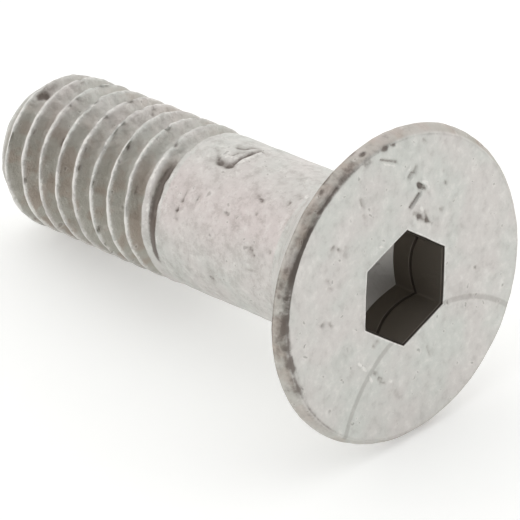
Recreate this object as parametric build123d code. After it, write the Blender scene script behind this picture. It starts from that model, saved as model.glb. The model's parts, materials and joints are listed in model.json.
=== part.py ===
"""Countersunk hexagon socket screw, metric 5 mm thread by 16 mm long, lying on its side.

The screw is one forged and thread-rolled piece: a flat head with a 90 degree cone under it,
a hexagon socket with a drilled conical floor, a plain shank, a shallow neck where the rolled
thread runs out, and a right-hand 0.8 mm thread that ends in a chamfer.

It is drawn upright first, with its axis on Z, the flat face of its head at z = 0 looking up,
and the threaded end below. A depth is a distance below that face. The finished screw is then
laid on its side, on the edge of its head and the last crest of its thread, with its head
towards +X. The origin is the middle of its footprint, on the surface that it lies on.
"""

from build123d import *
from math import atan2, ceil, cos, degrees, radians, sqrt, tan
import os

# Driving dimensions, in millimetres and degrees.
screw_length = 15.85  # from the flat face to the end of the thread

# Head
head_dia = 9.7
rim_height = 0.43  # the face's edge and the band below it, down to the cone
rim_round = 0.30  # rounding of the edge of the face
cone_angle = 90.0  # full angle of the seat
cone_fillet = 1.2  # radius where the cone runs into the shank

# Hexagon socket
socket_across_flats = 3.06
socket_depth = 1.93  # where its corners end
socket_floor_angle = 120.0  # full angle of the drilled floor
socket_turn = -10.0  # of one corner from straight up, on the lying screw
mouth_bevel = 0.05

# Plain shank, and the neck between it and the thread
shank_dia = 4.84
neck_cut = 0.12  # how far the neck goes into the shank, all round
neck_width = 0.90

# Thread
thread_dia = 4.95
thread_pitch = 0.80
thread_angle = 60.0
thread_length = 7.30  # from the end of the screw, with the groove at its full depth
run_out_turns = 0.75  # turns over which the groove then leaves the metal
underside_crest = 0.97  # from the end of the screw to its last full crest, on the underside
tip_chamfer = 0.73  # its length along the axis
tip_step = 0.04  # from the bottom of the groove in to the edge of the flat end

# How far a cutting shape stands clear of the metal that it cuts.
clear = 0.15

# Sizes that follow.
head_r = head_dia / 2
shank_r = shank_dia / 2
thread_r = thread_dia / 2
cone_end = rim_height + (head_r - shank_r) / tan(radians(cone_angle / 2))
sharp_height = thread_pitch / 2 / tan(radians(thread_angle / 2))
groove_height = 5 / 8 * sharp_height
root_r = thread_r - groove_height
run_out = run_out_turns * thread_pitch
neck_depth = screw_length - thread_length - run_out / 2
socket_corner_r = socket_across_flats / sqrt(3)


def blank():
    """The screw before its thread and its socket: one profile turned about the axis."""
    neck_start = (shank_r, -(neck_depth - neck_width / 2))
    neck_floor = (shank_r - neck_cut, -neck_depth)
    neck_end = (thread_r, -(neck_depth + neck_width / 2))
    rim_corner = (head_r, 0)
    cone_corner = (shank_r, -cone_end)
    above_neck = Polyline((0, 0), rim_corner, (head_r, -rim_height), cone_corner, neck_start)
    below_neck = Polyline(
        neck_end,
        (thread_r, -(screw_length - tip_chamfer)),
        (root_r - tip_step, -screw_length),
        (0, -screw_length),
        (0, 0),
    )
    neck = ThreePointArc(neck_start, neck_floor, neck_end)
    section = make_face([*above_neck.edges(), neck.edge(), *below_neck.edges()])
    for place, radius in [(rim_corner, rim_round), (cone_corner, cone_fillet)]:
        section = fillet(section.vertices().sort_by_distance(place)[0], radius)
    return revolve(Plane.XZ * section, Axis.Z)


def thread_groove():
    """The groove that the thread's crests stand between, swept turn by turn along a helix.

    It comes up from beyond the end of the screw to where the full thread stops. From there its
    helix opens out on a cone, so that it gets shallower and leaves the metal at the neck. Half
    a pitch away from the groove the thread has a crest. The drawing's +X becomes the underside,
    so the groove is turned until a crest lies there.
    """
    reach = groove_height + clear
    opening = atan2(groove_height, run_out)
    one_turn = Helix(thread_pitch, thread_pitch, root_r)
    turns_down = ceil(thread_length / thread_pitch) + 1
    path = [Pos(0, 0, -turn * thread_pitch) * one_turn for turn in range(turns_down, 0, -1)]
    rise = run_out * reach / groove_height
    path.append(Helix(thread_pitch / cos(opening), rise, root_r, cone_angle=degrees(opening)))

    flank = tan(radians(thread_angle / 2))
    root_half = thread_pitch / 8
    outer_half = root_half + reach * flank
    section = make_face(
        Polyline((0, -root_half), (reach, -outer_half), (reach, outer_half), (0, root_half), close=True)
    )
    section = Plane(origin=path[0] @ 0, x_dir=(1, 0, 0), z_dir=path[0] % 0) * section
    groove = sweep(section, path=Wire([turn.edge() for turn in path]), is_frenet=True)

    turned = 360 * ((thread_length - underside_crest) / thread_pitch - 0.5)
    return Pos(0, 0, thread_length - screw_length) * Rot(0, 0, turned) * groove


def socket():
    """The hole that a hexagon punch with a pointed end leaves, with a bevel round its mouth."""
    point_depth = socket_depth + socket_corner_r / tan(radians(socket_floor_angle / 2))
    hexagon = RegularPolygon(socket_corner_r, 6, rotation=socket_turn)
    prism = extrude(Pos(0, 0, -point_depth) * hexagon, point_depth + clear)
    cone_height = point_depth + clear
    cone_top_r = cone_height * tan(radians(socket_floor_angle / 2))
    cone = Pos(0, 0, clear - cone_height / 2) * Cone(0, cone_top_r, cone_height)
    bevel = loft(
        [
            Pos(0, 0, -mouth_bevel) * hexagon,
            Pos(0, 0, clear) * offset(hexagon, mouth_bevel + clear, kind=Kind.INTERSECTION),
        ]
    )
    return (prism & cone) + bevel


def lay_down(screw):
    """Lays the screw on its side, on the lower edge of its rim and its last full crest."""
    crest_depth = screw_length - underside_crest
    tilt = atan2(head_r - thread_r, crest_depth - rim_height)
    lying = Rot(0, 90 - degrees(tilt), 0) * screw
    box = lying.bounding_box()
    return Pos(-box.center().X, -box.center().Y, -box.min.Z) * lying


countersunk_screw = lay_down(blank() - thread_groove() - socket())

os.makedirs("parts", exist_ok=True)
export_step(countersunk_screw, "parts/countersunk_screw.step")
print("volume", round(countersunk_screw.volume, 2), "mm3")
print("size", countersunk_screw.bounding_box().size)
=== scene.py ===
# %% [markdown]
# # A countersunk socket screw with a dull zinc coat
#
# This lesson dresses one small screw. The imported model gives its true sizes and its place, and
# here it gets the surface of a dipped and handled screw: a thread softened by zinc, pits, lumps
# and scratches, grime and painted shade in the grooves, painted highlights, and a pale satin metal
# that is never one flat colour.

# %% Load the imported screw
import json
from itertools import product
import bpy
import numpy as np
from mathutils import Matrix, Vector


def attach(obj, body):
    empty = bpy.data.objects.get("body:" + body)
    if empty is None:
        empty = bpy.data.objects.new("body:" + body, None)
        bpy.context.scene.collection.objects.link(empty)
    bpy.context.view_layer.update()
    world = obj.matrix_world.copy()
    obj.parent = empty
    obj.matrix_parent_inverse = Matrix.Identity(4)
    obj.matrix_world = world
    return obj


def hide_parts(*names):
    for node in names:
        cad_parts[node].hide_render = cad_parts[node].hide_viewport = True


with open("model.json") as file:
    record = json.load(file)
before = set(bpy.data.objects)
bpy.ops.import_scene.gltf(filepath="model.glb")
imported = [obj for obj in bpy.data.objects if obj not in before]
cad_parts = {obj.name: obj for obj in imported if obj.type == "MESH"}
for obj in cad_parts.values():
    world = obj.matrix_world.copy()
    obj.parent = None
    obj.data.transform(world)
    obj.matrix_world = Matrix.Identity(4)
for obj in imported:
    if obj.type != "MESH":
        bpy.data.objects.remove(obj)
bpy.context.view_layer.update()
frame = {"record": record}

# %% [markdown]
# ## Where the screw lies
#
# The model's record says where the screw's face and its threaded end are, which gives its axis.
# Copied numbers would do too, but only until one of the two models changed.

# %% The screw's own directions
MM = 0.001
mounts = {mount["name"]: mount for mount in frame["record"]["mounts"]}
face_centre = np.array(mounts["hexagon_socket"]["pos_m"]) / MM
end_centre = np.array(mounts["threaded_end"]["pos_m"]) / MM
screw_length = np.linalg.norm(face_centre - end_centre)
outward = (face_centre - end_centre) / screw_length
sideways = np.array([0.0, 1.0, 0.0])
upward = np.cross(outward, sideways)


def place(depth, radius, turn):
    """Points in millimetres: from the face's centre go depth back along the axis, then radius
    away from it. The turn is measured from straight up, towards -Y."""
    depth, radius, turn = np.broadcast_arrays(depth, radius, turn)
    away = np.cos(turn)[..., None] * upward - np.sin(turn)[..., None] * sideways
    return face_centre - depth[..., None] * outward + radius[..., None] * away


lean = np.degrees(np.arcsin(outward[2]))
print("length", round(screw_length, 3), "mm, leaning by", round(lean, 2), "degrees")

# %% [markdown]
# ## The sizes of the screw
#
# These are a designer's numbers, in millimetres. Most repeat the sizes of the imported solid, so
# that the surfaces agree. The socket's bevel, the neck, and the thread's root and run-out differ
# a little, because zinc has half filled them.

# %% Sizes
head_r = 4.85
rim_height = 0.43
face_r = 4.62
rim_edge_round = 0.06
cone_end = 2.86
cone_fillet = 1.2
socket_apothem = 1.53
socket_depth = mounts["hexagon_socket"]["dims"]["length_mm"]
socket_floor_half_angle = np.radians(60)
socket_turn = np.radians(-10)
mouth_bevel = 0.03
shank_r = mounts["shank"]["dims"]["r_mm"]
thread_top = 7.80
neck_start = 8.00
neck_width = 0.70
neck_cut = 0.03
thread_r = mounts["thread"]["dims"]["r_mm"]
thread_length = mounts["thread"]["dims"]["length_mm"]
thread_pitch = 0.80
crest_width = 0.10
root_round = 0.16
run_out_turns = 0.45
underside_crest = 0.97
tip_chamfer = 0.73
tip_r = 2.0

# %% [markdown]
# ## One outline, then a grid around the axis
#
# Almost all of the screw is turned: one outline carried round the axis. A few straight and round
# stretches are easier to read than a long list of points. Each gives rows of depth and radius.


# %% Stretches of an outline
def straight(start, end, rows):
    """Start plus a share of the way to end, the share running from 0 up to, but not to, 1."""
    share = np.linspace(0, 1, rows, endpoint=False)[:, None]
    return np.array(start) + share * (np.array(end) - np.array(start))


def round_stretch(centre, radius, first, last, rows):
    """Centre plus radius times the sine and cosine of an angle, from first up to last degrees.
    At 0 degrees the point is straight out from the axis, and at -90 it is towards the face."""
    angle = np.radians(np.linspace(first, last, rows, endpoint=False))
    return np.array(centre) + radius * np.stack([np.sin(angle), np.cos(angle)], axis=1)


def rings(outline, turns):
    """Every outline point at every turn: an array of depths and one of radii, a row for a ring."""
    depths = np.repeat(outline[:, :1], len(turns), axis=1)
    radii = np.repeat(outline[:, 1:], len(turns), axis=1)
    return depths, radii


# %% [markdown]
# ## Columns
#
# Small marks show most on the wide face, so it and the rim have twice the columns of the rest,
# and a row of triangles joins the two. The first column lies on a corner of the socket, so that
# the corners come out sharp.

# %% Columns of the grid
coarse_columns = 240
fine_columns = 2 * coarse_columns
fine_turns = socket_turn + 2 * np.pi * np.arange(fine_columns) / fine_columns
coarse_turns = fine_turns[::2]
print("one column takes", round(360 / fine_columns, 2), "degrees on the face")

# %% [markdown]
# ## The hexagon socket
#
# A punch with a pointed end pushes this hole into the cold head and leaves six flat walls. A thin
# dark line runs round them part of the way down. It is only a colour, but a colour kept in points
# needs points to hold it, so four rings lie close together there. Seen along the axis a hexagon
# is a circle whose radius swings in and out six times. A share says how far along its stretch of
# floor or wall a ring lies.

# %% Socket rings
line_depth_on_flats = 1.34
line_rise_to_corners = 1.1
line_steps = np.array([0.080, 0.045, -0.045, -0.080])[:, None]
upper_gap = 0.035
floor_share = np.append(np.linspace(0, 1, 12)[:-1], [0.985, 1.0])[:, None]
lower_share = np.array([0.03, 0.22, 0.42, 0.62, 0.80])[:, None]
upper_share = np.array([0.2, 0.4, 0.6, 0.8, 0.97, 1.0])[:, None]


def hexagon_radius(turns):
    """Half the width across flats, over the cosine of the angle from the middle of the flat."""
    from_flat = np.remainder(turns - socket_turn, np.pi / 3) - np.pi / 6
    return socket_apothem / np.cos(from_flat)


wall_r = hexagon_radius(coarse_turns)
deepest = socket_depth + wall_r.max() / np.tan(socket_floor_half_angle)
floor_r = floor_share * wall_r
floor_depth = deepest - floor_r / np.tan(socket_floor_half_angle)
wall_foot = floor_depth[-1]
line_depth = line_depth_on_flats - line_rise_to_corners * (wall_r - socket_apothem)
lower_depth = wall_foot + lower_share * (line_depth - wall_foot)
upper_foot = line_depth - upper_gap
upper_depth = upper_foot + upper_share * (mouth_bevel - upper_foot)
wall_depth = np.concatenate([lower_depth, line_depth + line_steps, upper_depth])
socket_depths = np.concatenate([floor_depth, wall_depth])
socket_radii = np.concatenate([floor_r, 0 * wall_depth + wall_r])
print("socket rings", len(socket_depths), "deepest at", round(deepest, 2), "mm")

# %% [markdown]
# ## The face
#
# The face starts as a hexagon at the socket's mouth and ends as a circle at the rim. Each ring
# is a blend of the two. The punch pushes up a thin lip around the mouth, which catches the light.

# %% Face rings
lip_width = np.array([0.0, 0.02, 0.05, 0.09, 0.15, 0.22])[:, None]
lip_height = np.array([0.0, 0.018, 0.026, 0.020, 0.008, 0.0])[:, None]
flat_share = np.append(np.linspace(0, 1, 44)[1:-1], [0.995, 1.0])[:, None]
lip_radii = hexagon_radius(fine_turns) + mouth_bevel + lip_width
flat_radii = lip_radii[-1] + flat_share * (face_r - lip_radii[-1])
face_depths = np.concatenate([0 * lip_radii - lip_height, 0 * flat_radii])
face_radii = np.concatenate([lip_radii, flat_radii])
print("face rings", len(face_depths))

# %% [markdown]
# ## The rim
#
# Screws that rub together in a box lose the sharp edge of the head. Here the edge is an arc
# that starts at 60 degrees instead of 90, so the flat face still ends at a line. Its radius
# follows from that angle and its width. A much smaller arc turns the rim over into the cone.

# %% Rim rings
rim_first_angle = 60
rim_round = (head_r - face_r) / (1 - np.cos(np.radians(rim_first_angle)))
rim_centre = (rim_round * np.sin(np.radians(rim_first_angle)), head_r - rim_round)
edge_tangent = rim_edge_round * np.tan(np.radians(22.5))
edge_centre = (rim_height - edge_tangent, head_r - rim_edge_round)
rim_outline = np.concatenate(
    [
        round_stretch(rim_centre, rim_round, -rim_first_angle + 1, 0, 12),
        round_stretch(edge_centre, rim_edge_round, 0, 45, 4),
    ]
)
rim_depths, rim_radii = rings(rim_outline, fine_turns)
print("rim rounding", round(rim_round, 3), "mm, as deep as", round(rim_centre[0], 3), "mm")

# %% [markdown]
# ## Cone, fillet and shank
#
# Behind the rim the head narrows as a cone at 45 degrees, which sits in the countersink, and runs
# into the shank with a fillet. The outline bends the other way there, so its radius is negative.

# %% Body rings
half = np.sqrt(0.5)
fillet_tangent = cone_fillet * np.tan(np.radians(22.5))
cone_start = (rim_height + half * edge_tangent, head_r - half * edge_tangent)
fillet_start = (cone_end - half * fillet_tangent, shank_r + half * fillet_tangent)
fillet_end = (cone_end + fillet_tangent, shank_r)
body_outline = np.concatenate(
    [
        straight(cone_start, fillet_start, 26),
        round_stretch((fillet_end[0], shank_r + cone_fillet), -cone_fillet, 45, 0, 10),
        straight(fillet_end, (thread_top, shank_r), 42),
        [(thread_top, shank_r)],
    ]
)
body_depths, body_radii = rings(body_outline, coarse_turns)
print("body rings", len(body_depths))

# %% [markdown]
# ## Random, but the same every time
#
# A dipped coat is never even. Its lumps come from noise: random numbers on a cubic lattice, with
# smooth blends in between. Blender has noise of its own, but only in materials and modifiers,
# and this noise has to move points.


# %% Smooth noise
def smooth_noise(points, cell, seed):
    """Random values from -1 to 1, one for each point. The random numbers at the eight corners of
    the point's lattice cube are weighed by how near the point is to each of them."""
    lattice_size = 32
    lattice = np.random.default_rng(seed).uniform(-1, 1, (lattice_size,) * 3)
    scaled = points / cell
    cube = np.floor(scaled).astype(int)
    part = scaled - cube
    part = part * part * (3 - 2 * part)
    total = np.zeros(points.shape[:-1])
    for corner in product((0, 1), repeat=3):
        weight = np.prod(np.where(corner, part, 1 - part), axis=-1)
        index = np.remainder(cube + corner, lattice_size)
        total += weight * lattice[index[..., 0], index[..., 1], index[..., 2]]
    return total


def layered_noise(points, layers):
    """The sum of layers of noise, each given by its strength, its cell and its seed."""
    return sum(strength * smooth_noise(points, cell, seed) for strength, cell, seed in layers)


# %% [markdown]
# ## Fading in and out
#
# Nothing on a real surface starts all at once. Most of what follows is a share from 0 to 1 that
# rises over some distance or is strong in one place only, and products of shares pick out a part.


# %% Rise and bell
def rise(value, start, length):
    """0 up to start, 1 from start plus length on, and an even rise between the two."""
    return np.clip((value - start) / length, 0, 1)


def bell(value, centre, width):
    """1 at the centre, less on both sides of it: e to the power of minus the square of the
    distance from the centre, counted in widths."""
    return np.exp(-(((value - centre) / width) ** 2))


# %% [markdown]
# ## The rolled thread
#
# A thread is a groove that climbs one pitch in every turn. Dies press it into the turning blank,
# and the metal that they push aside rises as crests. The groove's walls are straight, and zinc
# rounds its bottom. Towards the neck the groove gets shallower until it leaves the metal.


# %% Thread profile
def soft_least(a, b, softness):
    """The lesser of two arrays, with the corner between them rounded over a width of softness."""
    share = np.clip(0.5 + 0.5 * (b - a) / softness, 0, 1)
    return b + share * (a - b) - softness * share * (1 - share)


def blank_radius(depth):
    """The radius before the thread is rolled: shank, a dip at the neck, thread, chamfered end."""
    neck_share = rise(depth, neck_start, neck_width)
    dip = 4 * neck_share * (1 - neck_share) * neck_cut
    before_chamfer = shank_r + neck_share * (thread_r - shank_r) - dip
    chamfer_share = (depth - (screw_length - tip_chamfer)) / tip_chamfer
    chamfer = thread_r - chamfer_share * (thread_r - tip_r)
    return soft_least(before_chamfer, chamfer, softness=0.05)


def climb(turns):
    """How far the thread has come towards the head, in millimetres: one pitch for each turn."""
    return thread_pitch * (turns + np.pi) / (2 * np.pi)


flank_slope = np.tan(np.radians(60))
crest_depth = screw_length - underside_crest
sharp_r = thread_r - (thread_pitch - crest_width) / 2 * flank_slope


def thread_radius(depth, turns, swell=0.0):
    """The blank's radius, less the groove. The groove is a circle at its bottom and then two
    straight flanks that touch the circle. The last turns lift out of the metal."""
    count = (depth - crest_depth + climb(turns)) / thread_pitch + 0.5
    from_middle = (count - np.round(count)) * thread_pitch
    full_from = screw_length - thread_length
    lift = np.clip((full_from - (depth - from_middle)) / (run_out_turns * thread_pitch), 0, 1.4)
    across = np.abs(from_middle) * (1 + swell)
    bottom = 2 * root_round - np.sqrt(np.maximum(root_round**2 - across**2, 0))
    groove = np.where(across < root_round * np.cos(np.radians(30)), bottom, across * flank_slope)
    raised = sharp_r + groove + lift * (thread_r - sharp_r - root_round)
    return soft_least(blank_radius(depth), raised, softness=0.012)


print("a sharp groove would reach down to", round(sharp_r, 3), "mm from the axis")

# %% [markdown]
# ## Rows that climb with the groove
#
# Rings square to the axis would cross the thread, and its edges would come out as steps. So these
# rows climb with the groove: one follows the edge of a crest, the next lies a little way down the
# flank, and so on. After one turn a row meets the row one crest further on. Where a row would
# leave the thread, its points are left out, and the ring there takes their place. Noise swells
# the flanks and lets the crests wander, as a thick coat does.

# %% Thread rows
on_the_crest = [-0.045, -0.033, 0.0, 0.033, 0.045]
down_the_groove = [0.10, 0.17, 0.24, 0.30, 0.35, 0.4, 0.45, 0.5, 0.56, 0.63, 0.70]
from_crest = np.array(on_the_crest + down_the_groove)
rows_in_pitch = len(from_crest)
thread_end = screw_length - 0.03
least_step = 0.012
first_climb = climb(coarse_turns[0])
first_crest = int(np.floor((thread_top - crest_depth + first_climb) / thread_pitch))
last_crest = int(np.ceil((thread_end - crest_depth + first_climb) / thread_pitch)) + 1
crests = np.arange(first_crest, last_crest + 1)
thread_rows = (thread_pitch * crests[:, None] + from_crest).ravel()
row_depths = crest_depth - climb(coarse_turns) + thread_rows[:, None]
before_thread = row_depths < thread_top + least_step
past_thread = row_depths > thread_end - least_step
kept = ~before_thread & ~past_thread
thread_depths = row_depths[kept]
thread_turns = np.broadcast_to(coarse_turns, row_depths.shape)[kept]

on_crests = place(thread_depths, thread_r, thread_turns)
swell = layered_noise(on_crests, [(0.06, 0.3, 13), (0.05, 0.14, 14)])
thread_radii = thread_radius(thread_depths, thread_turns, swell)
wander = layered_noise(on_crests, [(0.034, 0.9, 11), (0.021, 0.4, 12), (0.011, 0.18, 15)])
from_either_end = np.minimum(thread_depths - thread_top, thread_end - thread_depths)
thread_depths = thread_depths + rise(from_either_end, 0, 0.3) * wander
print("crests", len(crests), "points on the thread", len(thread_depths))

# %% [markdown]
# ## The threaded end
#
# The bar was cut off square here, and zinc has rounded the cut's edge. Three rings make that
# edge, each a little further back and a little narrower, and the rest close in on the axis.

# %% End rings
edge_depths = np.array([thread_end, screw_length - 0.01, screw_length])[:, None]
edge_shrinks = np.array([0.0, 0.008, 0.025])[:, None]
edge_radii = thread_radius(thread_end, coarse_turns) - edge_shrinks
inner_radii = np.linspace(1, 0, 9)[1:-1, None] * edge_radii[-1]
end_radii = np.concatenate([edge_radii, inner_radii])
end_depths = np.concatenate([edge_depths + 0 * edge_radii, screw_length + 0 * inner_radii])
print("end rings", len(end_depths))

# %% [markdown]
# ## Sew the grids into one closed skin
#
# Quads join neighbouring rings, a row of triangles joins the coarse columns to the fine ones, and
# a fan of triangles closes each end on the axis. The corner numbers are worked out as whole
# arrays, and each face lists its corners in the order that makes it look out of the metal.


# %% Faces between rings
def ring_faces(first_point, ring_count, columns):
    """Quads between neighbouring rings. The last column's neighbour is the first column."""
    row, column = np.meshgrid(np.arange(ring_count - 1), np.arange(columns), indexing="ij")
    here = first_point + row * columns + column
    beside = first_point + row * columns + (column + 1) % columns
    return np.stack([here, here + columns, beside + columns, beside], axis=-1).reshape(-1, 4)


def joining_faces(coarse_ring, fine_ring):
    """Three triangles for each coarse column, where two fine steps meet one coarse step."""
    column = np.arange(coarse_columns)
    beside = (column + 1) % coarse_columns
    coarse_a = coarse_ring + column
    coarse_b = coarse_ring + beside
    fine_a = fine_ring + 2 * column
    fine_b = fine_a + 1
    fine_c = fine_ring + 2 * beside
    fans = [(coarse_a, fine_a, fine_b), (coarse_a, fine_b, coarse_b), (coarse_b, fine_b, fine_c)]
    return np.concatenate([np.stack(fan, axis=-1) for fan in fans])


def fan_faces(pole, ring, columns):
    """A fan of triangles between one point on the axis and the ring next to it."""
    column = np.arange(columns)
    corners = [np.full(columns, pole), ring + column, ring + (column + 1) % columns]
    return np.stack(corners, axis=-1)


# %% [markdown]
# The thread needs a function of its own. A row's last column has as its neighbour the first
# column of the row one crest further on, and near both ends some quads lose a corner.


# %% Faces of the thread
def spiral_faces(first_point, start_ring, end_ring):
    """Quads between neighbouring rows of the thread. Points left out are those of the ring at
    that end, and where this makes two corners of a quad one, the quad becomes a triangle."""
    column = np.arange(coarse_columns)
    number = np.where(before_thread, start_ring + column, end_ring + column)
    number[kept] = first_point + np.arange(kept.sum())
    beside = np.roll(number, -1, axis=1)
    beside[rows_in_pitch:, -1] = number[:-rows_in_pitch, 0]
    beside[:rows_in_pitch, -1] = start_ring
    corners = np.stack([number[:-1], number[1:], beside[1:], beside[:-1]], axis=-1)
    corners = corners.reshape(-1, 4)
    here_same = corners[:, 0] == corners[:, 1]
    beside_same = corners[:, 2] == corners[:, 3]
    whole = corners[~here_same & ~beside_same]
    first_half = corners[beside_same & ~here_same][:, [0, 1, 2]]
    second_half = corners[here_same & ~beside_same][:, [0, 2, 3]]
    return whole, np.concatenate([first_half, second_half])


# %% [markdown]
# Now all the grids go into one list of points. How many points come before a grid is the number
# of its first point, and that is all that the faces need to know.

# %% Put the grids together
fine_depths = np.concatenate([face_depths, rim_depths])
fine_radii = np.concatenate([face_radii, rim_radii])
grids = [
    place(socket_depths[0, :1], 0.0, 0.0),
    place(socket_depths[1:], socket_radii[1:], coarse_turns),
    place(fine_depths, fine_radii, fine_turns),
    place(body_depths, body_radii, coarse_turns),
    place(thread_depths, thread_radii, thread_turns),
    place(end_depths, end_radii, coarse_turns),
    place(np.array([screw_length]), 0.0, 0.0),
]
points = np.concatenate([grid.reshape(-1, 3) for grid in grids])
counts = [grid.size // 3 for grid in grids]
inner_first, fine_first, outer_first, thread_first, end_first, pole = np.cumsum(counts)[:-1]
last_body_ring = thread_first - coarse_columns
thread_quads, thread_triangles = spiral_faces(thread_first, last_body_ring, end_first)
quads = np.concatenate(
    [
        ring_faces(inner_first, len(socket_depths) - 1, coarse_columns),
        ring_faces(fine_first, len(fine_depths), fine_columns),
        ring_faces(outer_first, len(body_depths), coarse_columns),
        thread_quads,
        ring_faces(end_first, len(end_depths), coarse_columns),
    ]
)
triangles = np.concatenate(
    [
        fan_faces(0, inner_first, coarse_columns),
        joining_faces(fine_first - coarse_columns, fine_first),
        joining_faces(outer_first, outer_first - fine_columns)[:, ::-1],
        thread_triangles,
        fan_faces(pole, pole - coarse_columns, coarse_columns)[:, ::-1],
    ]
)
print("points", len(points), "triangles", 2 * len(quads) + len(triangles))

# %% [markdown]
# ## Marks, one stroke at a time
#
# A screw from a drawer has knocks, pits and scratches. They could be sculpted, but then nobody
# could read how. Here the largest are strokes, chosen one by one: a stroke is a short line on
# the surface with a half width, a height that is below zero where it cuts in, and its grime,
# which is below zero where bare metal shines. Noise makes the many small marks further on.

# %% How a stroke is written
profile = np.concatenate([rim_outline, body_outline])


def on_face(across, up):
    """A point of the flat face, across and up from its centre."""
    return face_centre + across * sideways + up * upward


def on_body(depth, turn):
    """A point of the turned body, by its depth and by its turn from straight up, in degrees."""
    turn = np.radians(turn)
    if depth > thread_top:
        return place(depth, thread_radius(depth, turn), turn)
    return place(depth, np.interp(depth, profile[:, 0], profile[:, 1]), turn)


def marks(surface, rows):
    """Strokes from rows of seven numbers: two for the start, as the surface needs them, two for
    the end, the half width, the height and the dirt."""
    return [(surface(*row[0:2]), surface(*row[2:4]), *row[4:]) for row in rows]


# %% [markdown]
# Most marks are on the face. Above the socket something hard has left a cluster of pits, with
# bright metal beside them, and smaller pits lie scattered around it.

# %% Marks on the upper face
upper_face = [
    # a cluster of pits and scratches above the socket
    (0.95, 2.99, 1.0, 2.9, 0.085, -0.05, 0.62),
    (1.0, 2.9, 1.16, 2.79, 0.075, -0.045, 0.6),
    (1.09, 3.03, 1.24, 2.91, 0.055, 0.035, -0.6),
    (1.27, 2.8, 1.32, 2.74, 0.05, 0.025, -0.5),
    (1.26, 2.62, 1.31, 2.56, 0.055, -0.025, 0.35),
    (0.52, 2.41, 0.93, 2.69, 0.055, -0.04, 0.58),
    (0.63, 2.35, 1.02, 2.61, 0.045, 0.022, -0.45),
    (0.68, 2.14, 0.88, 1.95, 0.095, -0.035, 0.44),
    (0.88, 1.95, 1.12, 1.71, 0.09, -0.035, 0.4),
    (1.12, 1.71, 1.28, 1.56, 0.055, -0.025, 0.42),
    (1.09, 2.04, 1.15, 1.8, 0.055, -0.035, 0.36),
    (0.93, 2.24, 0.97, 2.12, 0.06, 0.035, -0.6),
    (0.62, 3.36, 0.72, 3.42, 0.07, -0.035, 0.5),
    (0.82, 3.42, 0.93, 3.58, 0.065, -0.03, 0.42),
    (0.7, 3.23, 0.78, 3.3, 0.055, 0.022, -0.45),
    (0.6, 3.56, 0.7, 3.66, 0.05, 0.02, -0.4),
    (-0.38, 4.34, 0.19, 4.03, 0.055, -0.04, 0.52),
    (-0.33, 4.21, 0.13, 3.94, 0.045, 0.02, -0.45),
    (2.0, 2.59, 2.03, 2.55, 0.06, -0.035, 0.48),
    (1.69, 1.85, 1.75, 1.83, 0.07, -0.035, 0.45),
    (1.33, 4.28, 1.36, 4.22, 0.06, -0.03, 0.42),
    (2.14, 3.85, 2.18, 3.8, 0.06, -0.02, 0.28),
    (1.94, 3.02, 1.98, 2.98, 0.06, -0.02, 0.28),
    (-0.3, 2.71, -0.22, 2.66, 0.08, -0.02, 0.22),
    (-0.8, 1.74, -0.7, 1.68, 0.05, 0.02, -0.6),
    # pits towards the upper left of the face
    (-2.58, 2.44, -2.5, 2.47, 0.075, -0.04, 0.42),
    (-2.35, 2.34, -2.3, 2.27, 0.07, -0.04, 0.42),
    (-2.05, 2.28, -2.16, 2.05, 0.07, -0.025, 0.26),
    (-2.91, 1.57, -2.85, 1.5, 0.08, -0.035, 0.32),
    (-2.86, 1.3, -2.8, 1.26, 0.07, -0.03, 0.32),
    (-3.3, 0.25, -3.22, 0.3, 0.07, -0.04, 0.42),
    (-3.0, 0.2, -2.94, 0.12, 0.07, -0.04, 0.42),
    (-1.25, 2.93, -1.22, 2.86, 0.08, -0.035, 0.36),
    (-1.3, 3.48, -1.26, 3.24, 0.06, -0.035, 0.42),
    (-1.4, 3.44, -1.37, 3.26, 0.05, 0.02, -0.35),
]
strokes = marks(on_face, upper_face)

# %% [markdown]
# Lower down are fewer pits, and a group of short scratches beside the score mark.

# %% Marks on the lower face
lower_face = [
    # pits to the right of the socket and below it
    (2.81, -0.58, 2.84, -0.6, 0.06, -0.03, 0.5),
    (2.51, -1.35, 2.5, -1.4, 0.06, -0.025, 0.35),
    (0.6, -2.25, 0.68, -2.55, 0.06, -0.025, 0.32),
    (-1.37, -2.53, -1.2, -2.6, 0.06, -0.03, 0.4),
    (-1.45, -1.25, -1.42, -1.28, 0.06, -0.03, 0.5),
    # scratches beside the score mark, below the socket
    (-2.12, -1.5, -1.85, -1.89, 0.05, 0.02, -0.5),
    (-1.73, -2.19, -1.7, -2.3, 0.06, 0.025, -0.6),
    (-1.55, -2.1, -1.5, -2.14, 0.06, -0.035, 0.55),
    (-1.4, -2.36, -1.3, -2.42, 0.06, -0.03, 0.5),
    (-1.02, -2.62, -0.95, -2.66, 0.06, 0.02, -0.55),
    (-0.8, -3.12, -0.76, -3.3, 0.1, -0.03, 0.26),
    (-1.3, -1.18, -1.27, -1.2, 0.06, -0.03, 0.5),
]
strokes += marks(on_face, lower_face)

# %% [markdown]
# The edge of the head takes most of the knocks, and dirt stays in them as dark spots.

# %% Spots on the edge of the head
face_edge = [
    (-0.2, 4.6, -0.16, 4.6, 0.085, -0.035, 0.9),
    (0.12, 4.6, 0.18, 4.58, 0.06, -0.02, 0.55),
    (-0.98, 4.42, -0.78, 4.46, 0.08, -0.04, 0.42),
]
rim = [
    (0.16, 10.3, 0.17, 11.2, 0.06, -0.03, 0.65),
    (0.14, 16.5, 0.06, 24.0, 0.1, -0.015, 0.3),
    (0.05, 27.0, 0.06, 38.0, 0.05, -0.02, 0.35),
    (0.3, 30.5, 0.28, 31.5, 0.04, -0.02, 0.35),
    (0.39, 12.0, 0.4, 28.0, 0.035, 0.0, 0.5),
]
strokes += marks(on_face, face_edge) + marks(on_body, rim)

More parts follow.
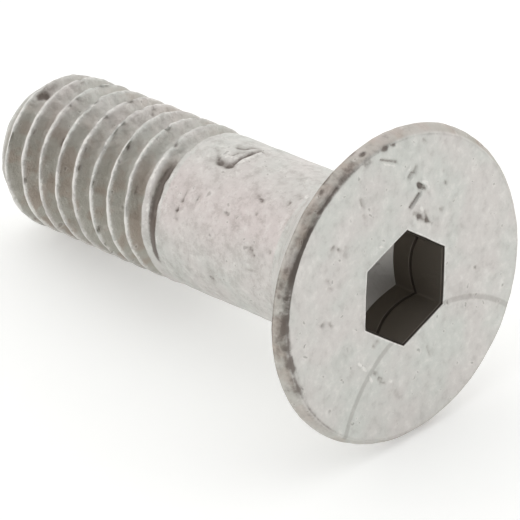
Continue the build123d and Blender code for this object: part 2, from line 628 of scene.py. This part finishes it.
# %% [markdown]
# The one deep gouge is on top of the shank. Something has dug in and pushed metal up beside it,
# so deep strokes lie next to raised, bright ones.

# %% The gouge
gouge = [
    (7.1, 13.5, 6.9, 15.0, 0.11, -0.07, 0.32),
    (6.9, 15.0, 6.52, 15.3, 0.13, -0.095, 0.5),
    (6.52, 15.3, 6.34, 14.8, 0.09, -0.07, 0.5),
    (7.46, 4.5, 7.05, 12.0, 0.07, -0.05, 0.34),
    (6.98, -4.8, 6.74, -7.8, 0.08, -0.07, 0.6),
    (6.66, -1.8, 6.78, 5.0, 0.08, -0.07, 0.52),
    (6.72, -10.5, 6.56, -15.0, 0.07, -0.06, 0.55),
    (6.42, 11.0, 6.45, 2.9, 0.09, -0.11, 0.75),
    (6.45, 2.9, 6.38, -5.4, 0.09, -0.115, 0.85),
    (6.38, -5.4, 6.31, -11.5, 0.08, -0.08, 0.65),
    (6.31, -11.5, 5.92, -10.0, 0.08, -0.045, 0.34),
    (6.18, 10.6, 6.1, -8.7, 0.08, 0.065, -0.7),
    (6.6, 8.0, 6.57, -1.0, 0.06, 0.05, -0.6),
    (6.84, 10.3, 6.8, 8.5, 0.06, 0.04, -0.55),
    (7.05, -25.0, 6.62, -27.0, 0.16, 0.035, 0.0),
]
strokes += marks(on_body, gouge)

# %% [markdown]
# Grit and gas in the zinc bath leave small pits in the coat.

# %% Pits along the shank
shank_pits = [
    (5.96, 47.5, 5.93, 48.0, 0.055, -0.035, 0.4),
    (5.48, 48.8, 5.34, 49.6, 0.07, -0.055, 0.5),
    (5.1, 52.0, 4.72, 55.6, 0.055, -0.035, 0.34),
    (4.66, 29.2, 4.46, 31.0, 0.055, -0.045, 0.48),
    (4.44, 31.2, 4.36, 32.0, 0.05, -0.045, 0.48),
    (4.4, 24.4, 4.36, 25.0, 0.06, -0.04, 0.36),
    (4.36, 41.0, 4.3, 42.0, 0.065, -0.045, 0.45),
    (4.06, 44.0, 4.02, 45.0, 0.06, -0.045, 0.45),
    (4.12, 65.0, 4.07, 66.0, 0.065, -0.05, 0.5),
    (3.98, 67.0, 3.9, 69.5, 0.06, -0.045, 0.48),
    (4.2, 82.0, 3.74, 80.5, 0.075, -0.035, 0.3),
    (3.3, 62.4, 3.25, 63.2, 0.06, -0.045, 0.45),
    (6.51, 118.8, 6.48, 121.0, 0.06, -0.035, 0.45),
    (5.86, 101.2, 5.78, 102.4, 0.08, -0.05, 0.5),
    (5.84, 94.0, 5.8, 95.2, 0.055, -0.035, 0.38),
    (4.28, 12.5, 4.24, 13.4, 0.06, -0.035, 0.32),
    (4.08, -1.8, 4.04, -0.8, 0.06, -0.04, 0.36),
    (3.46, 24.6, 3.48, 27.0, 0.065, -0.05, 0.45),
    (3.4, 16.2, 3.26, 19.0, 0.08, -0.055, 0.36),
    (3.08, 15.8, 3.02, 17.0, 0.07, 0.04, -0.6),
]
strokes += marks(on_body, shank_pits)

# %% [markdown]
# The rolling dies ran out against the shank and left lines round it, some dark, some bright.

# %% Marks of the rolling dies
die_marks = [
    (7.31, 44.6, 7.3, 52.3, 0.06, -0.045, 0.56),
    (7.31, 53.0, 7.37, 60.2, 0.055, -0.04, 0.42),
    (7.37, 60.2, 7.29, 67.0, 0.055, -0.03, 0.45),
    (6.76, 44.6, 6.8, 59.4, 0.06, -0.035, 0.42),
    (8.12, 38.0, 8.12, 60.0, 0.045, 0.02, -0.65),
    (8.12, 60.0, 8.13, 90.0, 0.045, 0.02, -0.65),
    (8.78, 30.0, 8.77, 45.0, 0.045, 0.0, -0.6),
    (8.77, 45.0, 8.56, 68.0, 0.045, 0.0, -0.6),
    (8.56, 68.0, 8.47, 97.0, 0.045, 0.0, -0.6),
]
strokes += marks(on_body, die_marks)

# %% [markdown]
# Crests are thin, so a knock breaks through the coat there and collects dirt.

# %% Knocks on the thread
knocks = [
    (15.08, 20.0, 15.03, 14.0, 0.1, -0.06, 0.9),
    (15.03, 14.0, 15.08, 3.5, 0.08, -0.05, 0.65),
    (14.25, 83.0, 14.23, 86.0, 0.07, -0.04, 0.75),
    (14.3, 45.0, 14.28, 48.0, 0.06, -0.03, 0.55),
    (13.6, 16.0, 13.58, 19.0, 0.08, -0.04, 0.5),
    (13.72, -15.0, 13.74, -8.0, 0.07, -0.04, 0.5),
    (13.29, 43.0, 13.26, 49.0, 0.09, 0.0, 0.45),
    (11.85, 57.5, 11.87, 61.0, 0.06, -0.04, 0.65),
    (11.1, 29.0, 11.08, 32.0, 0.08, -0.04, 0.55),
    (11.08, 65.0, 11.07, 67.0, 0.05, -0.04, 0.65),
    (10.34, 29.0, 10.28, 34.0, 0.06, -0.035, 0.45),
    (10.94, 100.0, 10.97, 103.0, 0.08, -0.04, 0.6),
    (11.23, -14.5, 11.1, -10.5, 0.07, -0.04, 0.45),
    (9.37, 56.0, 9.36, 61.0, 0.08, 0.0, 0.45),
    (8.78, 15.2, 8.75, 17.5, 0.07, -0.04, 0.65),
]
strokes += marks(on_body, knocks)
print("strokes", len(strokes))

# %% [markdown]
# ## Which way is out
#
# Points move along their normals. Blender gives those of a finished mesh, but here there is none
# yet. So the cross product of a quad's diagonals, or of two edges of a triangle, is added to each
# of its corners, and the sums are scaled to length 1. Larger faces count for more.

# %% Normals
normals = np.zeros_like(points)
for faces, a, b, c, d in [(quads, 0, 2, 1, 3), (triangles, 0, 1, 0, 2)]:
    first_way = points[faces[:, b]] - points[faces[:, a]]
    second_way = points[faces[:, d]] - points[faces[:, c]]
    normal = np.cross(first_way, second_way)
    for corner in faces.T:
        np.add.at(normals, corner, normal)
normals /= np.linalg.norm(normals, axis=1, keepdims=True)
print("normals", len(normals))

# %% [markdown]
# ## Where each point is
#
# Lumps and grime depend on the place: on the depth behind the face, the distance from the axis,
# the turn from straight up, and how far a point lies below the blank's surface.

# %% Places of the points
from_face = points - face_centre
point_depth = -from_face @ outward
point_radius = np.linalg.norm(from_face + point_depth[:, None] * outward, axis=1)
around = np.arctan2(-(from_face @ sideways), from_face @ upward)
turned = np.degrees(around)
in_socket = np.zeros(len(points))
in_socket[:fine_first] = 1.0
on_top = bell(around, 0, 0.7)
behind_rim = rise(point_depth, 0.5, 0.5)
in_thread = (point_depth > thread_top) * (point_depth < thread_end)
on_full_thread = point_depth > neck_start + 0.3
below_blank = np.where(point_depth > thread_top, blank_radius(point_depth) - point_radius, 0.0)
print("points on the full thread", int(on_full_thread.sum()))

# %% [markdown]
# ## Lumps, pits and knocks
#
# Zinc gathers in lumps of every size, so noise of several sizes is added up, and the crests on
# top get small breaks. The strokes are added next: each is full on its line, and falls away like
# a bell with the distance from it. Every point moves along its normal by the sum.

# %% Move every point along its normal
coat = layered_noise(points, [(0.010, 1.1, 21), (0.008, 0.5, 22), (0.008, 0.25, 23)])
coat += 0.012 * on_top * in_thread * smooth_noise(points, cell=0.16, seed=24)
height = coat * (1 - 0.85 * in_socket) * (1 + 0.5 * behind_rim)
crest_spots = 2.2 * smooth_noise(points, cell=0.22, seed=33) - 0.9 + 0.5 * on_top
crest_spots = np.clip(crest_spots, 0, 1) * on_full_thread
height -= 0.035 * on_top * crest_spots * bell(below_blank, 0, 0.10)
grime_and_painted_light = np.zeros(len(points))
for start, end, half_width, stroke_height, stroke_grime in strokes:
    along = end - start
    nearest = np.clip((points - start) @ along / (along @ along), 0, 1)
    distance = np.linalg.norm(points - start - nearest[:, None] * along, axis=1)
    share = bell(distance, 0, half_width)
    height += stroke_height * share * (1 - in_socket)
    grime_and_painted_light += stroke_grime * share
points_moved = points + height[:, None] * normals
print("moved by", height.min().round(3), "to", height.max().round(3), "mm")

# %% [markdown]
# ## Grime and painted light: the thread
#
# The groove is painted darker than the crests, partly dirt and partly painted shade, but much less
# on top, where painted light from above falls. The crests get a painted highlight, and along part
# of the groove near its start the colour is darker still.

# %% Grime and painted light of the thread
# painted shade in the groove, partly dirt, and much less of it on top, where painted light from
# above falls
flank = rise(below_blank, 0.03, 0.05) * (point_depth < screw_length - 0.01)
flank *= (1 - 0.85 * on_top) * (1 + 0.35 * on_top * smooth_noise(points, cell=0.25, seed=37))
grime_and_painted_light += 0.45 * crest_spots * bell(below_blank, 0.06, 0.05)

# painted highlight along the crests, weaker on top
crest_highlight = np.clip(0.75 + 0.8 * smooth_noise(points, cell=0.3, seed=35), 0.2, 1)
crest_highlight *= (1 - 0.6 * on_top) * bell(below_blank, 0, 0.045)
crest_highlight *= rise(point_depth, neck_start + 0.8, 0.3)
crest_highlight *= 1 - rise(point_depth, screw_length - 0.55, 0.3)
grime_and_painted_light -= 0.62 * crest_highlight

# along part of the groove near its start the colour is made darker
darkened_turns = 7.5
darkened_middle = crest_depth - climb(around) - darkened_turns * thread_pitch + 0.06
darkened_side = rise(turned, 15, 25) * (1 - rise(turned, 102, 12))
grime_and_painted_light += 0.85 * darkened_side * bell(point_depth, darkened_middle, 0.11)
print("points on the flanks", int((flank > 0.5).sum()))

# %% [markdown]
# ## Grime and painted shade: the rim
#
# The rim is painted a little darker all round, as painted shade, with a dark line where the face
# ends. About 70 degrees from the top a stain follows that line, partly oily dirt and partly
# painted shade of the rounding. Noise breaks it into patches, and towards the lower left it fades.

# %% Grime and painted shade of the rim
darker_side = bell(turned, 70, 46)
lower_left = rise(turned, 85, 30)
line_reach = 0.15 * bell(turned, 102, 26)
line_width = 0.055 + 0.07 * bell(turned, 92, 32)
outer_edge = (point_radius > face_r - line_reach) * (1 - in_socket) * (point_depth < 0.6)
whole_rim = outer_edge * rise(point_depth, 0.02, 0.04) * (1 - rise(point_depth, 0.46, 0.04))
face_line = bell(point_radius, face_r, 0.035) * (point_depth < 0.1)
beside_face = rise(point_radius, face_r - line_reach, 0.03) * bell(point_depth, 0, line_width)
over_rim = bell(point_depth, 0.25, 0.12)
back_edge = bell(point_depth, rim_height, 0.04)

uneven = 1 + 0.4 * smooth_noise(points, cell=0.3, seed=34)
# painted shade: the whole rim a little darker, and a dark line where the face ends
grime_and_painted_light += (0.17 * whole_rim + 0.22 * face_line) * uneven
patches = 0.45 + layered_noise(points, [(0.9, 0.45, 31), (0.8, 0.18, 32)])
broken = 0.50 + (1 - 0.6 * lower_left) * (np.clip(patches, 0, 1) - 0.1)
# a stain beside the face's edge and over the rim: partly dirt, partly painted shade of the
# rounding
stains_and_shade = beside_face * (0.06 + 0.95 * darker_side) + over_rim * (0.06 + 0.22 * darker_side)
grime_and_painted_light += outer_edge * stains_and_shade * (1 - 0.25 * lower_left) * broken
# painted shade: a darker line along the rim's back edge, where it meets the cone
grime_and_painted_light += outer_edge * back_edge * 0.3 * darker_side * np.clip(0.6 + patches, 0, 1)
dull = 1 + 0.5 * smooth_noise(points, cell=0.5, seed=36)
# painted shade: the groove tone laid over the rim
flank += (0.78 - 0.35 * lower_left) * dull * whole_rim
print("points on the rim", int((whole_rim > 0.5).sum()))

# %% [markdown]
# ## Painted shade and light: the socket
#
# The socket's walls are painted dark, as painted shade in the hole, and its mouth has a black line
# all round, painted shade at its edge. The thin line goes round the walls. The sloping floor is
# painted lighter, most on its lower side, as painted light falling in, and the lip outside the
# mouth gets a painted highlight. All these are whole rings, so the numbers of their points pick
# them.

# %% Painted shade and light of the socket
floor_points = slice(0, inner_first + (len(floor_share) - 1) * coarse_columns)
line_first = inner_first + (len(floor_share) + len(lower_share)) * coarse_columns
line_points = slice(line_first, line_first + 2 * coarse_columns)
mouth_points = slice(fine_first - coarse_columns, fine_first + fine_columns)
lip_points = slice(fine_first + fine_columns, fine_first + 3 * fine_columns)

grime_and_painted_light[line_points] = 0.88
# painted light: the socket's floor is made bright
grime_and_painted_light[floor_points] = -0.8
# painted shade: a black ring round the socket's mouth
grime_and_painted_light[mouth_points] = 1.0
# painted highlight on the lip outside the mouth
grime_and_painted_light[lip_points] -= 0.42
grime_and_painted_light = np.clip(grime_and_painted_light, -1, 1)
# painted shade: the whole socket and the mouth ring are made dark
dark = 1.0 * in_socket
dark[fine_first : fine_first + fine_columns] = 1.0
# painted light and shade on the floor: darker towards its upper side, lighter towards its lower
# side
dark[floor_points] = 0.85 * rise(from_face[floor_points] @ upward, -0.3, 1.4)
print("grime from", grime_and_painted_light.min(), "to", grime_and_painted_light.max())

# %% [markdown]
# ## From numbers to a mesh
#
# A rose cast on the upper side of the shank and on top of the rim, painted warm light from above,
# is one more share. Then Blender gets the points, the faces and all the shares, as attributes that
# a material can read. They are easier to change than a painted picture, and need no unwrapping.

# %% Make the mesh
# painted warm light: a rose cast on the upper side of the shank and on top of the rim
warm_light_on_shank = bell(turned, 48, 30) * (point_depth > 3.0) * (point_depth < neck_start)
shares = {
    "grime_and_painted_light": grime_and_painted_light,
    "dark": dark,
    "body": behind_rim * (1 - in_socket),
    "flank": flank,
    "pink": np.maximum(warm_light_on_shank, whole_rim * bell(turned, 10, 35)),
}
mesh = bpy.data.meshes.new("zinc_coated_screw")
mesh.from_pydata((points_moved * MM).tolist(), [], quads.tolist() + triangles.tolist())
for name, values in shares.items():
    attribute = mesh.attributes.new(name, "FLOAT", "POINT")
    attribute.data.foreach_set("value", values.astype(np.float32))
mesh.shade_smooth()
mesh.validate()
screw = bpy.data.objects.new("zinc_coated_screw", mesh)
bpy.context.scene.collection.objects.link(screw)
print("faces", len(mesh.polygons), "shares", list(shares))

# %% [markdown]
# ## Tools for materials
#
# A material is a tree of nodes. One short function adds any node and links its inputs, and the
# others are the sums and blends that come back again and again.


# %% Helpers for materials
def new_material(name):
    """An empty node material, with its output."""
    material = bpy.data.materials.new(name)
    material.use_nodes = True
    material.node_tree.nodes.clear()
    output = material.node_tree.nodes.new("ShaderNodeOutputMaterial")
    return material, material.node_tree, output


def add_node(tree, kind, values=(), **settings):
    """A node of that kind. Values go to its inputs by name, and a socket among them is linked."""
    node = tree.nodes.new(kind)
    for name, value in settings.items():
        setattr(node, name, value)
    for name, value in dict(values).items():
        if isinstance(value, bpy.types.NodeSocket):
            tree.links.new(value, node.inputs[name])
        else:
            node.inputs[name].default_value = value
    return node


def maths(tree, operation, a, b=0.0, c=0.0, clamp=False):
    """One sum on numbers, as a node."""
    settings = {"operation": operation, "use_clamp": clamp}
    return add_node(tree, "ShaderNodeMath", {0: a, 1: b, 2: c}, **settings).outputs[0]


def vector_maths(tree, operation, a, b=(0.0, 0.0, 0.0), c=(0.0, 0.0, 0.0)):
    """One sum on vectors, as a node. A result that is one number is its output Value."""
    return add_node(tree, "ShaderNodeVectorMath", {0: a, 1: b, 2: c}, operation=operation)


def times(tree, a, b):
    """The product of two shares."""
    return maths(tree, "MULTIPLY", a, b)


def opposite(tree, share):
    """1 less the share."""
    return maths(tree, "SUBTRACT", 1.0, share)


def ramp(tree, value, low, high):
    """0 below low, 1 above high, and a smooth rise between them."""
    inputs = {"Value": value, "From Min": low, "From Max": high}
    node = add_node(tree, "ShaderNodeMapRange", inputs, interpolation_type="SMOOTHSTEP")
    return node.outputs["Result"]


def noise(tree, where, scale, detail=2.0, rough=0.5):
    """Noise from 0 to 1, with scale features in a millimetre."""
    inputs = {"Vector": where, "Scale": scale, "Detail": detail, "Roughness": rough}
    return add_node(tree, "ShaderNodeTexNoise", inputs).outputs["Fac"]


def blend(tree, share, first, second):
    """First where the share is 0, second where it is 1."""
    inputs = {0: share, 6: first, 7: second}
    return add_node(tree, "ShaderNodeMix", inputs, data_type="RGBA").outputs[2]


def tint(tree, tone, colour, share, most):
    """The tone so far, blended towards the colour by the share times most."""
    return blend(tree, times(tree, share, most), tone, colour)


# %% [markdown]
# ## The zinc
#
# Dull zinc is a pale warm grey metal, whose fine crystals scatter light so widely that it mirrors
# no shapes. So the shader is almost fully metallic and quite rough, and its colour does the rest:
# it drifts between a pink and a green cast, carries dirt, is painted darker in the grooves, on the
# rim and in the socket as painted shade, and gets painted highlights.

# %% Zinc: tones and attributes
pale_pink = (0.692, 0.664, 0.641, 1)
pale_green = (0.660, 0.668, 0.636, 1)
warm_light_tone = (0.700, 0.630, 0.615, 1)
flank_tone = (0.505, 0.490, 0.440, 1)
brown_tone = (0.455, 0.395, 0.340, 1)
stain_and_shade_tone = (0.300, 0.255, 0.230, 1)
grime_and_shade_tone = (0.130, 0.105, 0.090, 1)
bright_tone = (0.86, 0.84, 0.81, 1)
socket_shade_tone = (0.300, 0.270, 0.235, 1)
black_line_and_shade_tone = (0.030, 0.026, 0.022, 1)

zinc, tree, output = new_material("dull_zinc")
where = add_node(tree, "ShaderNodeTexCoord").outputs["Object"]
scaling = add_node(tree, "ShaderNodeMapping", {"Vector": where, "Scale": (1 / MM,) * 3})
in_mm = scaling.outputs["Vector"]
grime_and_painted_light_share, socket_shade, body_share, flanks, warm_light_share = [
    add_node(tree, "ShaderNodeAttribute", attribute_name=name).outputs["Fac"] for name in shares
]
outside = opposite(tree, socket_shade)

# %% [markdown]
# First the clean metal. Large, weak clouds of noise shift the cast, middling ones are lighter or
# darker, and small spots mottle the body, whose coat is rougher than the face's.

# %% Zinc: casts and clouds
cast = ramp(tree, noise(tree, in_mm, scale=0.6), 0.32, 0.68)
cloud = noise(tree, in_mm, scale=3.0, detail=5.0, rough=0.65)
lighter = ramp(tree, cloud, 0.5, 0.72)
darker = opposite(tree, ramp(tree, cloud, 0.30, 0.5))
smudge = ramp(tree, noise(tree, in_mm, scale=1.1, detail=3.0), 0.56, 0.70)
mottled = ramp(tree, noise(tree, in_mm, scale=2.4, detail=6.0, rough=0.85), 0.48, 0.60)
mottled_share = maths(tree, "MULTIPLY_ADD", mottled, 0.24, 0.02)

tone = blend(tree, cast, pale_pink, pale_green)
# painted warm light: a rose cast on the upper side of the shank and on top of the rim
tone = tint(tree, tone, warm_light_tone, warm_light_share, most=0.8)
tone = tint(tree, tone, bright_tone, lighter, most=0.45)
tone = tint(tree, tone, grime_and_shade_tone, darker, most=0.14)
tone = tint(tree, tone, grime_and_shade_tone, smudge, most=0.07)
tone = tint(tree, tone, stain_and_shade_tone, body_share, most=mottled_share)

# %% [markdown]
# The share of grime and painted light is smooth, but dirt has ragged edges. Fine noise is added to
# the share before a ramp cuts it off, so the edge of each mark wanders. With the sign turned it
# gives bright places: bare metal and painted highlights.

# %% Zinc: ragged marks
ragged = maths(tree, "SUBTRACT", noise(tree, in_mm, scale=8.0, detail=3.0, rough=0.6), 0.5)
mark_and_shade = ramp(tree, maths(tree, "MULTIPLY_ADD", ragged, 0.65, grime_and_painted_light_share), 0.18, 0.72)
bare_and_highlight = maths(tree, "MULTIPLY_ADD", ragged, -1.0, times(tree, grime_and_painted_light_share, -1.0))
bright = ramp(tree, bare_and_highlight, 0.15, 0.5)

# %% [markdown]
# A coat like this has hundreds of tiny pits. A Voronoi pattern divides space into cells, and some
# of the cells get a round dark dot for a pit, partly dirt and partly painted shade, with a bright
# ring where the zinc stands up, partly polish and partly painted highlight.


# %% Zinc: speckle
def speckle(tree, cells_in_mm, radius, chosen):
    """Round pits and their bright rims, in the chosen share of the cells of a pattern that noise
    has pushed out of shape."""
    push = add_node(tree, "ShaderNodeTexNoise", {"Vector": in_mm, "Scale": 4.0, "Detail": 1.0})
    centred = vector_maths(tree, "SUBTRACT", push.outputs["Color"], (0.5,) * 3).outputs[0]
    pushed = vector_maths(tree, "MULTIPLY_ADD", centred, (0.35,) * 3, in_mm).outputs[0]
    cells = add_node(tree, "ShaderNodeTexVoronoi", {"Vector": pushed, "Scale": cells_in_mm})
    away = cells.outputs["Distance"]
    in_cell = radius * cells_in_mm
    pit = opposite(tree, ramp(tree, away, 0.6 * in_cell, 1.3 * in_cell))
    near = opposite(tree, ramp(tree, away, 1.6 * in_cell, 2.6 * in_cell))
    draw = add_node(tree, "ShaderNodeSeparateColor", {0: cells.outputs["Color"]}).outputs[0]
    picked = maths(tree, "LESS_THAN", draw, chosen)
    rim = times(tree, maths(tree, "SUBTRACT", near, pit), picked)
    return times(tree, pit, picked), rim


large_pits, large_rims = speckle(tree, cells_in_mm=1.3, radius=0.070, chosen=0.5)
small_pits, small_rims = speckle(tree, cells_in_mm=3.2, radius=0.038, chosen=0.45)
specks = times(tree, maths(tree, "MAXIMUM", large_pits, small_pits), outside)
speck_rims = times(tree, maths(tree, "MAXIMUM", large_rims, small_rims), outside)

# %% [markdown]
# Two score marks cross the face on one large circle, which the socket cuts in two. A point's
# distance from the circle's own axis is the length of a cross product, and the score is where
# that distance is the circle's radius.

# %% Zinc: two score marks on the face
score_centre = on_face(0.94, -5.35)
score_radius = 4.22
axis = tuple(outward)
from_score = vector_maths(tree, "SUBTRACT", in_mm, tuple(score_centre)).outputs[0]
crossed = vector_maths(tree, "CROSS_PRODUCT", from_score, axis).outputs[0]
reach = vector_maths(tree, "LENGTH", crossed).outputs["Value"]
over_face = vector_maths(tree, "DOT_PRODUCT", from_score, axis).outputs["Value"]
face_share = ramp(tree, over_face, -0.09, -0.05)
off_line = maths(tree, "ABSOLUTE", maths(tree, "SUBTRACT", reach, score_radius))
score = times(tree, opposite(tree, ramp(tree, off_line, 0.045, 0.115)), face_share)

# %% [markdown]
# Now everything is laid over the clean metal, one tone after another: the flanks, partly dirt and
# partly painted shade, and the socket's painted shade first, then stains with painted shade on the
# rim and at the mouth, the score and the specks, bright knocks with painted highlights, and the
# black line and painted shade in the socket last.

# %% Zinc: tones together
rusty = ramp(tree, noise(tree, in_mm, scale=1.5, detail=3.0), 0.44, 0.60)
groove_tone = blend(tree, rusty, flank_tone, brown_tone)
stain_and_shade = maths(tree, "MULTIPLY", grime_and_painted_light_share, 0.65, clamp=True)
black_line_and_shade = times(tree, ramp(tree, grime_and_painted_light_share, 0.75, 1.0), socket_shade)

# the groove tone: partly dirt, partly painted shade
tone = tint(tree, tone, groove_tone, flanks, most=0.92)
# painted shade: the socket is made dark
tone = blend(tree, socket_shade, tone, socket_shade_tone)
# stains, and painted shade on the rim and at the socket's mouth
tone = blend(tree, stain_and_shade, tone, stain_and_shade_tone)
tone = tint(tree, tone, grime_and_shade_tone, score, most=0.24)
# dark pits: partly dirt, partly painted shade
tone = tint(tree, tone, grime_and_shade_tone, specks, most=0.27)
# bright knocks and bare metal, and painted highlights on the crests, the lip and the socket's
# floor
tone = tint(tree, tone, bright_tone, times(tree, bright, outside), most=0.8)
# bright rings round the pits: partly polish, partly painted highlight
tone = tint(tree, tone, bright_tone, speck_rims, most=0.20)
# dirt and marks, with painted shade on the rim and at the mouth
tone = tint(tree, tone, grime_and_shade_tone, mark_and_shade, most=0.72)
# near black on the thin line, and painted shade at the mouth
tone = tint(tree, tone, black_line_and_shade_tone, black_line_and_shade, most=0.8)

# %% [markdown]
# The finest grain is too small for the mesh, so it is bump: the shader tilts its normal as if
# the grain were there. The specks, the dirt and the score press in a little.

# %% Zinc: relief and shader
face_grain = 0.026
body_grain = 0.022
speck_depth = 0.012
mark_depth = 0.020
score_depth = 0.006
grain_height = maths(tree, "MULTIPLY_ADD", body_share, body_grain, face_grain)
grain = times(tree, noise(tree, in_mm, scale=4.5, detail=6.0, rough=0.75), grain_height)
relief = maths(tree, "MULTIPLY_ADD", specks, -speck_depth, grain)
relief = maths(tree, "MULTIPLY_ADD", mark_and_shade, -mark_depth, relief)
relief = maths(tree, "MULTIPLY_ADD", score, -score_depth, relief)
bump = add_node(tree, "ShaderNodeBump", {"Height": relief, "Strength": 1.0, "Distance": MM})
finish = {"Metallic": 0.9, "Roughness": 0.47}
surface = {"Base Color": tone, "Normal": bump.outputs["Normal"], **finish}
shader = add_node(tree, "ShaderNodeBsdfPrincipled", surface)
tree.links.new(shader.outputs["BSDF"], output.inputs["Surface"])
screw.data.materials.append(zinc)
print("nodes in the zinc", len(tree.nodes))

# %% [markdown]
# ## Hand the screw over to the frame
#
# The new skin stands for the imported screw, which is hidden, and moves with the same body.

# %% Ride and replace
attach(screw, "root")
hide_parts("countersunk_screw")

# %% [markdown]
# ## A pale table
#
# The screw lies on a white sheet that reaches out of sight. A little light of its own, which only
# the camera and reflections see, lifts it to clean white where no shadow falls.

# %% Floor
sheet_half = 0.4
sheet_white = (0.87, 0.88, 0.87, 1)
sheet_glow = 0.31
signs = [(-1, -1), (1, -1), (1, 1), (-1, 1)]
corners = [(sheet_half * x, sheet_half * y, 0) for x, y in signs]
floor_mesh = bpy.data.meshes.new("white_sheet")
floor_mesh.from_pydata(corners, [], [(0, 1, 2, 3)])
floor = bpy.data.objects.new("white_sheet", floor_mesh)
bpy.context.scene.collection.objects.link(floor)

sheet_material, tree, output = new_material("white_sheet")
path = add_node(tree, "ShaderNodeLightPath").outputs
seen = maths(tree, "MAXIMUM", path["Is Camera Ray"], path["Is Glossy Ray"])
seen = maths(tree, "MAXIMUM", seen, path["Is Transmission Ray"])
paper = add_node(tree, "ShaderNodeBsdfDiffuse", {"Color": sheet_white})
glow = add_node(tree, "ShaderNodeEmission", {"Strength": times(tree, seen, sheet_glow)})
both = add_node(tree, "ShaderNodeAddShader", {0: paper.outputs[0], 1: glow.outputs[0]})
tree.links.new(both.outputs[0], output.inputs["Surface"])
floor_mesh.materials.append(sheet_material)
print("sheet", round(2 * sheet_half, 2), "m wide")

# %% [markdown]
# ## Soft light
#
# A studio sets small bright things in a light tent: white cloth all round, with a dim opening
# on one side. The tent is a world of light that gets darker round one direction, and metal that
# mirrors the opening looks dark. Without it satin metal in a white tent would look like paper.

# %% Light tent
opening_inner = np.radians(18)
opening_outer = np.radians(62)
cloth_light = 1.10
opening_light = 0.10
cloth_white = (1, 0.992, 0.982, 1)


def direction(azimuth, elevation):
    """The direction at an azimuth, from +X towards +Y, and an elevation, both in degrees."""
    azimuth, elevation = np.radians([azimuth, elevation])
    level = np.cos(elevation)
    return np.array([level * np.cos(azimuth), level * np.sin(azimuth), np.sin(elevation)])


world = bpy.data.worlds.new("light_tent")
world.use_nodes = True
world.node_tree.nodes.clear()
tree = world.node_tree
looking = add_node(tree, "ShaderNodeTexCoord").outputs["Generated"]
opening = tuple(direction(azimuth=-24, elevation=22))
nearness = vector_maths(tree, "DOT_PRODUCT", looking, opening).outputs["Value"]
dim = ramp(tree, nearness, np.cos(opening_outer), np.cos(opening_inner))
strength = maths(tree, "MULTIPLY_ADD", dim, opening_light - cloth_light, cloth_light)
background = add_node(tree, "ShaderNodeBackground", {"Color": cloth_white, "Strength": strength})
add_node(tree, "ShaderNodeOutputWorld", {"Surface": background.outputs[0]})
bpy.context.scene.world = world
print("the opening is at", np.round(opening, 2))

# %% [markdown]
# ## The camera
#
# A long lens from over seven times the screw's length away looks down at 35 degrees. Its place is
# worked out backwards from where the face's centre has to lie: a little right of the picture's
# middle, and a little below it.

# %% Camera
camera_azimuth = -43.35
camera_elevation = 35.30
camera_distance = 123.0
face_right = 4.189
face_above = -0.812
focal_length = 295.0

back = direction(camera_azimuth, camera_elevation)
right = direction(camera_azimuth + 90, 0)
above = np.cross(back, right)
camera_place = face_centre + camera_distance * back - face_right * right - face_above * above

camera_data = bpy.data.cameras.new("camera")
camera_data.lens = focal_length
camera_data.sensor_width = 36.0
camera_data.clip_start = 0.01
camera_data.clip_end = 10.0
camera = bpy.data.objects.new("camera", camera_data)
camera.location = camera_place * MM
camera.rotation_euler = Vector(back).to_track_quat("Z", "Y").to_euler()
bpy.context.scene.collection.objects.link(camera)
bpy.context.scene.camera = camera
bpy.context.scene.view_settings.view_transform = "Standard"
print("camera at", np.round(camera_place, 1), "mm")
